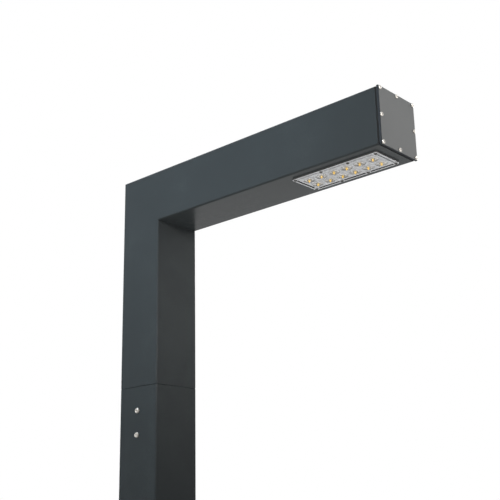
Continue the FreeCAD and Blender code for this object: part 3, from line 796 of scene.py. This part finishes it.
@dataclass
class Lens:
    """Clear moulded lens over the LEDs: a rim with screw bosses, a groove, and a plate of oval domes."""

    corner: float = 5.0 * MM
    rim_width: float = 3.4 * MM
    groove_width: float = 3.1 * MM
    rim_depth: float = 2.9 * MM
    plate_depth: float = 2.5 * MM
    groove_depth: float = 0.7 * MM
    back_depth: float = 1.5 * MM
    rim_land: float = 7.5 * MM
    seat_gap: float = 0.04 * MM
    edge_round: float = 0.45 * MM
    wall_slope: float = 0.25 * MM
    groove_shadow: float = 0.65 * MM
    edge_shade: float = 0.93
    boss_radius: float = 5.0 * MM
    screw_inset: float = 5.0 * MM
    screws_per_side: int = 4
    led_pitch: Pair = (26.0 * MM, 24.0 * MM)
    led_grid: tuple[int, int] = (6, 2)
    dome_half: Pair = (11.0 * MM, 8.5 * MM)
    dome_height: float = 5.5 * MM
    dome_fullness: float = 2.6
    clear_to: float = 0.99
    clear_fade: float = 0.06
    flank_from: float = 0.6
    flank_cover: float = 0.25
    pit_radius: float = 4.2 * MM
    pit_height: float = 5.6 * MM
    pit_fullness: int = 4
    pit_fade: float = 0.1
    step: float = 0.62 * MM
    hair: float = 0.02 * MM

    def __post_init__(self) -> None:
        """Takes the lens's place from its solid and lays out the grid of its points."""
        low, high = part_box("lens_array")
        self.centre = np.array([(low.x + high.x) / 2, (low.y + high.y) / 2])
        self.half = np.array([(high.x - low.x) / 2, (high.y - low.y) / 2])
        self.top = high.z
        self.x, self.y = self.plan()

    def screw_seats(self) -> Array:
        """Works out the centres of the screw bosses.

        Returns:
            Their places on the rim's face.
        """
        span = np.linspace(-1.0, 1.0, self.screws_per_side) * (self.half[0] - self.screw_inset)
        side = np.array([-1.0, 1.0]) * (self.half[1] - self.screw_inset)
        x, y = np.meshgrid(self.centre[0] + span, self.centre[1] + side, indexing="ij")
        return np.stack([x.ravel(), y.ravel(), np.full(x.size, self.top - self.rim_depth)], axis=-1)

    def led_seats(self) -> Array:
        """Works out the grid of the LEDs.

        Returns:
            x and y of each LED.
        """
        offsets = [(np.arange(n) - (n - 1) / 2) * p for n, p in zip(self.led_grid, self.led_pitch)]
        x, y = np.meshgrid(self.centre[0] + offsets[0], self.centre[1] + offsets[1], indexing="ij")
        return np.stack([x.ravel(), y.ravel()], axis=-1)

    def stations(self, half: float) -> Array:
        """Grid lines across the lens: even ones, and close ones at each wall and along the round corners.

        Args:
            half: half of the lens's length or width.

        Returns:
            Offsets from the middle, from -half to half.
        """
        walls = [self.rim_width, self.rim_width + self.groove_width, self.rim_land]
        near_wall = np.array([-1.6, 0.0, 1.0, 2.6]) * self.wall_slope
        insets = np.concatenate([w + near_wall for w in walls])
        edge = self.edge_round * (1 - np.cos(np.linspace(0, math.pi / 2, 5)))
        corner = self.corner * (1 - np.sin(np.linspace(0, math.pi / 2, 9)))
        one_side = half - np.concatenate([insets, edge, corner])
        middle = half - self.rim_land - 2 * self.step
        even = np.linspace(-middle, middle, int(2 * middle / self.step))
        lines = np.sort(np.concatenate([one_side, -one_side, even]))
        return lines[np.concatenate([[True], np.diff(lines) > self.hair])]

    def plan(self) -> tuple[Array, Array]:
        """Places of the grid in plan, relative to the lens's middle.

        Each line across the lens is drawn in as the round corners take its ends in: x is scaled by the half
        length at that y, which is half - corner + sqrt(corner^2 - overhang^2).

        Returns:
            x and y of every grid point, rows along y.
        """
        x, y = np.meshgrid(self.stations(self.half[0]), self.stations(self.half[1]))
        overhang = np.clip(np.abs(y) - (self.half[1] - self.corner), 0.0, self.corner)
        reach = self.half[0] - self.corner + np.sqrt(self.corner**2 - overhang**2)
        return x * reach / self.half[0], y

    def inset(self) -> Array:
        """Measures how far each grid point is from the lens's rounded outline.

        Returns:
            The distances, positive inside.
        """
        qx = np.abs(self.x) - (self.half[0] - self.corner)
        qy = np.abs(self.y) - (self.half[1] - self.corner)
        outside = np.hypot(np.maximum(qx, 0), np.maximum(qy, 0))
        return self.corner - outside - np.minimum(np.maximum(qx, qy), 0)

    def nearest(self, seats: Array) -> tuple[Array, Array]:
        """Finds the seat that is nearest to each grid point.

        Args:
            seats: places, of which x and y count.

        Returns:
            Offsets in x and y from it.
        """
        local = seats[:, :2] - self.centre
        dx, dy = self.x[..., None] - local[:, 0], self.y[..., None] - local[:, 1]
        pick = np.argmin(dx**2 + dy**2, axis=-1)[..., None]
        return np.take_along_axis(dx, pick, -1)[..., 0], np.take_along_axis(dy, pick, -1)[..., 0]

    def off_screw(self) -> Array:
        """Distance of each grid point from the nearest screw."""
        return np.hypot(*self.nearest(self.screw_seats()))

    def off_led(self) -> tuple[Array, Array]:
        """Distance of each grid point from the nearest LED, in its dome's half sizes and its pit's radius."""
        dx, dy = self.nearest(self.led_seats())
        return np.hypot(dx / self.dome_half[0], dy / self.dome_half[1]), np.hypot(dx, dy) / self.pit_radius

    def past(self, inset: Array, wall: float) -> Array:
        """How far a point is past a wall at that inset: 0 before its slope, 1 after it."""
        return np.clip((inset - wall) / self.wall_slope, 0.0, 1.0)

    def front(self) -> Array:
        """Works out how far the lens's front lies below the arm.

        The rim, groove and plate are steps by the distance from the outline, with a rounded outer edge. A
        boss lifts the groove to the rim's level round each screw. A dome adds height * (1 - rho^fullness),
        where rho is the distance from its LED measured in the dome's half length and half width.

        Returns:
            Depths in metres.
        """
        inset = self.inset()
        to_groove = self.past(inset, self.rim_width)
        to_plate = self.past(inset, self.rim_width + self.groove_width)
        depth = self.rim_depth + to_groove * (self.groove_depth - self.rim_depth)
        depth = depth + to_plate * (self.plate_depth - self.groove_depth)
        boss = np.clip((self.boss_radius - self.off_screw()) / self.step + 0.5, 0.0, 1.0)
        depth = np.maximum(depth, depth + boss * (self.rim_depth - depth))
        short = np.clip(1 - inset / self.edge_round, 0.0, 1.0)
        depth = depth - self.edge_round * (1 - np.sqrt(1 - short**2))
        rho = self.off_led()[0]
        return depth + self.dome_height * (1 - np.minimum(rho, 1.0) ** self.dome_fullness)

    def back(self) -> Array:
        """Works out how far the lens's back lies below the arm: a hollow inside the rim, and the pits.

        A pit adds height * (1 - rho^fullness), where rho is the distance from its LED in the pit's radius.

        Returns:
            Depths in metres.
        """
        hollow = self.past(self.inset(), self.rim_land)
        rho = self.off_led()[1]
        pit = self.pit_height * (1 - np.minimum(rho, 1.0) ** self.pit_fullness)
        return self.seat_gap + hollow * (self.back_depth - self.seat_gap) + pit

    def clear_parts(self) -> tuple[Array, Array]:
        """Marks where the lens is clear.

        Returns:
            Shares on the front, most at each dome's crown, and on the back, in the pits.
        """
        rho, pit = self.off_led()
        flank = np.clip((rho - self.flank_from) / (1 - self.flank_from), 0.0, 1.0)
        dome = np.clip((self.clear_to - rho) / self.clear_fade, 0.0, 1.0 - self.flank_cover * flank)
        return dome, np.clip((1.0 - pit) / self.pit_fade, 0.0, 1.0)

    def wall_shades(self) -> tuple[Array, Array]:
        """Marks the walls that get painted shade.

        Returns:
            Shades on the rim's wall towards the groove and at its foot, and on the lens's outer edge.
        """
        inset = self.inset()
        shadow_end = self.rim_width + self.groove_shadow
        inner = (inset > self.rim_width - self.hair) & (inset < shadow_end + self.hair)
        between = self.off_screw() > self.boss_radius
        return (inner & between).astype(float), self.edge_shade * (inset < self.hair)

    def build(self) -> None:
        """Makes the closed lens from its front, its back and the wall between them, and replaces the node."""
        rows, columns = self.x.shape
        plan = [self.centre[0] + self.x, self.centre[1] + self.y]
        sides = [np.stack([*plan, self.top - depth], axis=-1).reshape(-1, 3)
                 for depth in (self.front(), self.back())]
        number = np.arange(rows * columns).reshape(rows, columns)
        loop = np.concatenate([number[0, :-1], number[:-1, -1], number[-1, :0:-1], number[:0:-1, 0]])
        beside = np.roll(loop, -1)
        quads = grid_quads(rows, columns)
        skin = Skin()
        domes, pits = self.clear_parts()
        groove, edge = self.wall_shades()
        skin.add(sides[0], [quads], shade=np.maximum(groove, edge).ravel(), clear_part=domes.ravel())
        # the front carries the painted shade of the walls; the back carries the edge's painted shade and the
        # painted light over all of it
        skin.add(sides[1], [quads[:, ::-1]], shade=edge.ravel(), clear_part=pits.ravel(),
                 inner_face=np.ones(rows * columns))
        wall = np.stack([loop, beside, beside + rows * columns, loop + rows * columns], axis=-1)
        skin.faces += wall.tolist()
        made = skin.piece("lens_moulded", Slot.LENS, CLEAR, sharp=30.0)
        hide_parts("lens_array")


@dataclass
class Emitters:
    """Yellow faces of the LEDs: a bead of gel on each ceramic base, as large as its dome shows it."""

    half: float = 1.45 * MM
    height: float = 6.4 * MM
    squareness: float = 4.0
    last_angle: float = 130.0
    turns: int = 40
    rings: int = 14

    def build(self, seats: Array) -> None:
        """Makes a bead under each LED base and replaces the node.

        The outline is a rounded square: its radius is half / (|cos t|^n + |sin t|^n)^(1/n). From the tip to
        the base an angle goes past 90 degrees: the radius follows its sine, and the drop its cosine.

        Args:
            seats: x and y of the LEDs.
        """
        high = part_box("led_phosphors")[1].z
        turn = np.linspace(0.0, 2 * math.pi, self.turns, endpoint=False)
        n = self.squareness
        outline = self.half / (np.abs(np.cos(turn)) ** n + np.abs(np.sin(turn)) ** n) ** (1 / n)
        angle = np.linspace(0.0, math.radians(self.last_angle), self.rings + 1)[1:]
        reach = np.sin(angle)[:, None] * outline[None]
        drop = self.height * (np.cos(angle) - np.cos(angle[-1])) / (1 - np.cos(angle[-1]))
        points, faces = turned(reach, -drop, turn, (-self.height, 0.0))
        tops = np.concatenate([seats, np.full((len(seats), 1), high)], axis=1)
        skin = Skin()
        skin.add(points[None] + tops[:, None, :], faces)
        made = skin.piece("led_gel", Slot.PHOSPHOR, PHOSPHOR)
        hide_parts("led_phosphors")


@dataclass
class Fasteners:
    """All screws that show on the outside of the light."""

    end_reach: float = 46.2 * MM
    post_face: float = 50.0 * MM
    post_heights: Pair = (2.0465, 2.003)

    def end_plate(self) -> SocketScrews:
        """Seats eight screws round the end plate.

        Returns:
            The group.
        """
        low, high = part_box("end_plate")
        steps = np.array([(u, v) for u in (-1, 0, 1) for v in (-1, 0, 1) if (u, v) != (0, 0)], float)
        middle = (low.z + high.z) / 2
        face = np.full(len(steps), high.x)
        seats = np.stack([face, steps[:, 0] * self.end_reach, middle + steps[:, 1] * self.end_reach], axis=-1)
        return SocketScrews("end_plate_screws", Slot.STAINLESS, STAINLESS, {(1, 0, 0): seats},
                            head_radius=3.5 * MM, head_height=2.2 * MM, thread_radius=2.0 * MM,
                            grip=15.0 * MM, socket=2.0 * MM)

    def post(self) -> SocketScrews:
        """Seats two screws on each side of the post, below the joint.

        Returns:
            The group.
        """
        heights = np.array(self.post_heights)
        zero = np.zeros_like(heights)
        seats = {(0, s, 0): np.stack([zero, zero + s * self.post_face, heights], axis=-1) for s in (-1, 1)}
        return SocketScrews("post_screws", Slot.STAINLESS, STAINLESS, seats,
                            head_radius=5.25 * MM, head_height=3.3 * MM, thread_radius=3.0 * MM,
                            grip=13.3 * MM, socket=3.4 * MM, rim_shade=0.8)

    def lens(self, seats: Array) -> SocketScrews:
        """Small dark screws in the lens's rim."""
        return SocketScrews("lens_screws", Slot.BLACKENED, BLACKENED, {(0, 0, -1): seats},
                            head_radius=2.85 * MM, head_height=1.6 * MM, thread_radius=1.5 * MM,
                            grip=11.9 * MM, socket=2.0 * MM)

    def build(self, lens_seats: Array) -> None:
        """Builds the three groups."""
        for group in (self.end_plate(), self.post(), self.lens(lens_seats)):
            group.build()


@dataclass
class FootWeld:
    """Rippled weld bead round the foot of the post, laid over the plain bead of the solid."""

    leg: float = 6.5 * MM
    corner: float = 3.5 * MM
    bulge: float = 0.35
    ripple: float = 0.3 * MM
    pitch: float = 3.4 * MM
    lag: float = 0.9
    steps_per_ripple: int = 6
    profile_steps: int = 11

    def path(self, half: float) -> tuple[Array, Array, Array]:
        """Rounded square round the post, in even steps.

        At a distance s along it a point lies on one of four straight runs or on the quarter circles between
        them: run number, place on the run and angle of the corner all follow from s by division.

        Args:
            half: half of the post's width.

        Returns:
            Points on the post's outline, outward directions there, and distances along it in ripples.
        """
        run, arc = 2 * (half - self.corner), self.corner * math.pi / 2
        total = 4 * (run + arc)
        ripples = round(total / self.pitch)
        along = np.linspace(0.0, total, ripples * self.steps_per_ripple, endpoint=False)
        side, rest = np.divmod(along, run + arc)
        turn = (side + np.maximum(rest - run, 0.0) / arc) * math.pi / 2
        outward = np.stack([np.cos(turn), np.sin(turn)], axis=-1)
        base = side * math.pi / 2
        slide = np.minimum(rest, run) - run / 2
        start = np.stack([np.cos(base), np.sin(base)], axis=-1) * (half - self.corner)
        centre = start + np.stack([-np.sin(base), np.cos(base)], axis=-1) * slide[:, None]
        return centre + self.corner * outward, outward, ripples * along / total

    def build(self) -> None:
        """Carries the bead's section along the path.

        The section runs from the plate to the post: offset and height are leg times a mean of the straight
        line (1 - t, t) and the quarter circle (cos, sin of t times 90 degrees). Ripples that lag behind at
        both edges of the bead swell it by up to the ripple's height, and the section closes in the corner at
        the post's foot.
        """
        low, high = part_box("post_tube")
        outline, outward, turns = self.path((high.x - low.x) / 2)
        t = np.linspace(0.0, 1.0, self.profile_steps)[:, None]
        offset = self.leg * ((1 - self.bulge) * (1 - t) + self.bulge * np.cos(t * math.pi / 2))
        height = self.leg * ((1 - self.bulge) * t + self.bulge * np.sin(t * math.pi / 2))
        phase = 2 * math.pi * (turns[None] + self.lag * (2 * t - 1) ** 2)
        swell = self.ripple * (0.5 + 0.5 * np.sin(phase)) * np.sin(t * math.pi)
        foot = np.zeros_like(turns)[None]
        offset, height = (np.concatenate([bead + swell, foot]) for bead in (offset, height))
        level = outline[None] + offset[..., None] * outward[None]
        points = np.concatenate([level, height[..., None] + low.z], axis=-1)
        skin = Skin()
        quads = grid_quads(self.profile_steps + 1, len(turns), Closed.BOTH)[:, ::-1]
        skin.add(points.reshape(-1, 3), [quads])
        skin.piece("foot_weld", Slot.PAINT, PAINT, sharp=60.0)


@dataclass(frozen=True)
class Lamp:
    """Oblong area lamp: its place, the point it faces, its sides in metres, watts, and cone in degrees."""

    name: str
    place: Triple
    aim: Triple
    sides: Pair
    power: float
    colour: Colour = (1.0, 1.0, 1.0)
    spread: float = 180.0

    def hang(self) -> None:
        """Adds the lamp to the scene."""
        data = bpy.data.lights.new(self.name, "AREA")
        data.shape = "RECTANGLE"
        data.size, data.size_y = self.sides
        data.energy = self.power
        data.color = self.colour
        data.spread = math.radians(self.spread)
        made = bpy.data.objects.new(self.name, data)
        made.location = self.place
        made.rotation_euler = (Vector(self.aim) - Vector(self.place)).to_track_quat("-Z", "Y").to_euler()
        bpy.context.scene.collection.objects.link(made)


LAMPS = (
    Lamp("key", place=(-0.1, -1.5, 4.2), aim=(0.08, 0.0, 2.44), sides=(1.2, 0.5), power=3.1,
         colour=(0.86, 1.0, 1.10), spread=28.0),
    Lamp("end_fill", place=(1.9, -0.5, 2.45), aim=(0.08, 0.0, 2.27), sides=(0.5, 0.2), power=0.38,
         colour=(1.08, 1.0, 0.96), spread=25.0),
    Lamp("floor_bounce", place=(0.5, -0.45, 1.3), aim=(0.44, 0.0, 2.4), sides=(0.5, 0.5), power=0.56,
         colour=(1.0, 0.97, 0.93), spread=60.0),
    Lamp("back_fill", place=(-0.1, 2.5, 3.4), aim=(0.1, 0.0, 1.9), sides=(1.0, 1.0), power=48.0),
    Lamp("left_fill", place=(-2.4, 0.25, 2.0), aim=(0.0, 0.0, 1.3), sides=(1.0, 1.0), power=26.0),
    Lamp("foot_fill", place=(1.2, -1.6, 0.9), aim=(0.0, 0.0, 0.4), sides=(0.8, 0.8), power=5.0, spread=70.0),
)


@dataclass
class Studio:
    """Floor, light and camera of the photograph."""

    floor_size: float = 24.0
    floor_colour: Colour = (0.80, 0.80, 0.79)
    ambient: Colour = (0.17, 0.167, 0.16)
    focal_pixels: float = 914.5
    image_pixels: float = 500.0
    sensor: float = 36.0
    camera_place: Triple = (1.28071, -1.14929, 1.84065)
    nearest_seen: float = 0.05
    azimuth: float = 42.199
    elevation: float = -16.831
    roll: float = -1.177

    def floor(self) -> None:
        """Pale floor under the post."""
        half = self.floor_size / 2
        mesh = bpy.data.meshes.new("floor")
        corners = [(-half, -half, 0), (half, -half, 0), (half, half, 0), (-half, half, 0)]
        mesh.from_pydata(corners, [], [(0, 1, 2, 3)])
        made = bpy.data.objects.new("floor", mesh)
        bpy.context.scene.collection.objects.link(made)
        Backdrop("pale_floor", self.floor_colour).dress(made)

    def world(self) -> None:
        """Even light, with a white background behind the light and in what it mirrors."""
        world = bpy.data.worlds.new("studio")
        world.use_nodes = True
        graph = Graph(world.node_tree)
        shown = graph.mirrored().larger(graph.ray("Camera"))
        soft = graph.node("ShaderNodeBackground", {}, {"Color": (*self.ambient, 1.0)})
        white = graph.node("ShaderNodeBackground", {}, {"Color": WHITE})
        mixed = graph.node("ShaderNodeMixShader", {}, {0: shown, 1: soft, 2: white})
        graph.node("ShaderNodeOutputWorld", {}, {"Surface": mixed})
        bpy.context.scene.world = world

    def camera(self) -> None:
        """Camera at the photograph's place, with its slight roll."""
        turn, painted_light_slope, roll = (math.radians(v) for v in (self.azimuth, self.elevation, self.roll))
        back = Vector((math.sin(turn) * math.cos(painted_light_slope), -math.cos(turn) * math.cos(painted_light_slope), math.sin(painted_light_slope)))
        level = Vector((math.cos(turn), math.sin(turn), 0.0))
        upright = back.cross(level)
        right = math.cos(roll) * level + math.sin(roll) * upright
        up = math.cos(roll) * upright - math.sin(roll) * level
        data = bpy.data.cameras.new("photo_camera")
        data.sensor_width = self.sensor
        data.lens = self.focal_pixels / self.image_pixels * self.sensor
        data.clip_start = self.nearest_seen
        made = bpy.data.objects.new("photo_camera", data)
        facing = Matrix((right, up, back)).transposed().to_4x4()
        made.matrix_world = Matrix.Translation(self.camera_place) @ facing
        bpy.context.scene.collection.objects.link(made)
        bpy.context.scene.camera = made

    def build(self) -> None:
        """Sets up the whole studio."""
        self.floor()
        self.world()
        for lamp in LAMPS:
            lamp.hang()
        self.camera()
        bpy.context.scene.view_settings.view_transform = "Standard"


def dress_nodes() -> None:
    """Gives every solid that stays its finish."""
    for finish, names in FINISHED_NODES:
        for name in names:
            finish.dress(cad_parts[name])
            LOG.info("node %s: %s", name, finish.name)


def main() -> None:
    """Builds the light's pieces in order, then the studio."""
    logging.basicConfig(level=logging.INFO, format="%(message)s")
    dress_nodes()
    lens = Lens()
    lens.build()
    Emitters().build(lens.led_seats())
    Fasteners().build(lens.screw_seats())
    FootWeld().build()
    Studio().build()


if __name__ == "__main__":
    main()
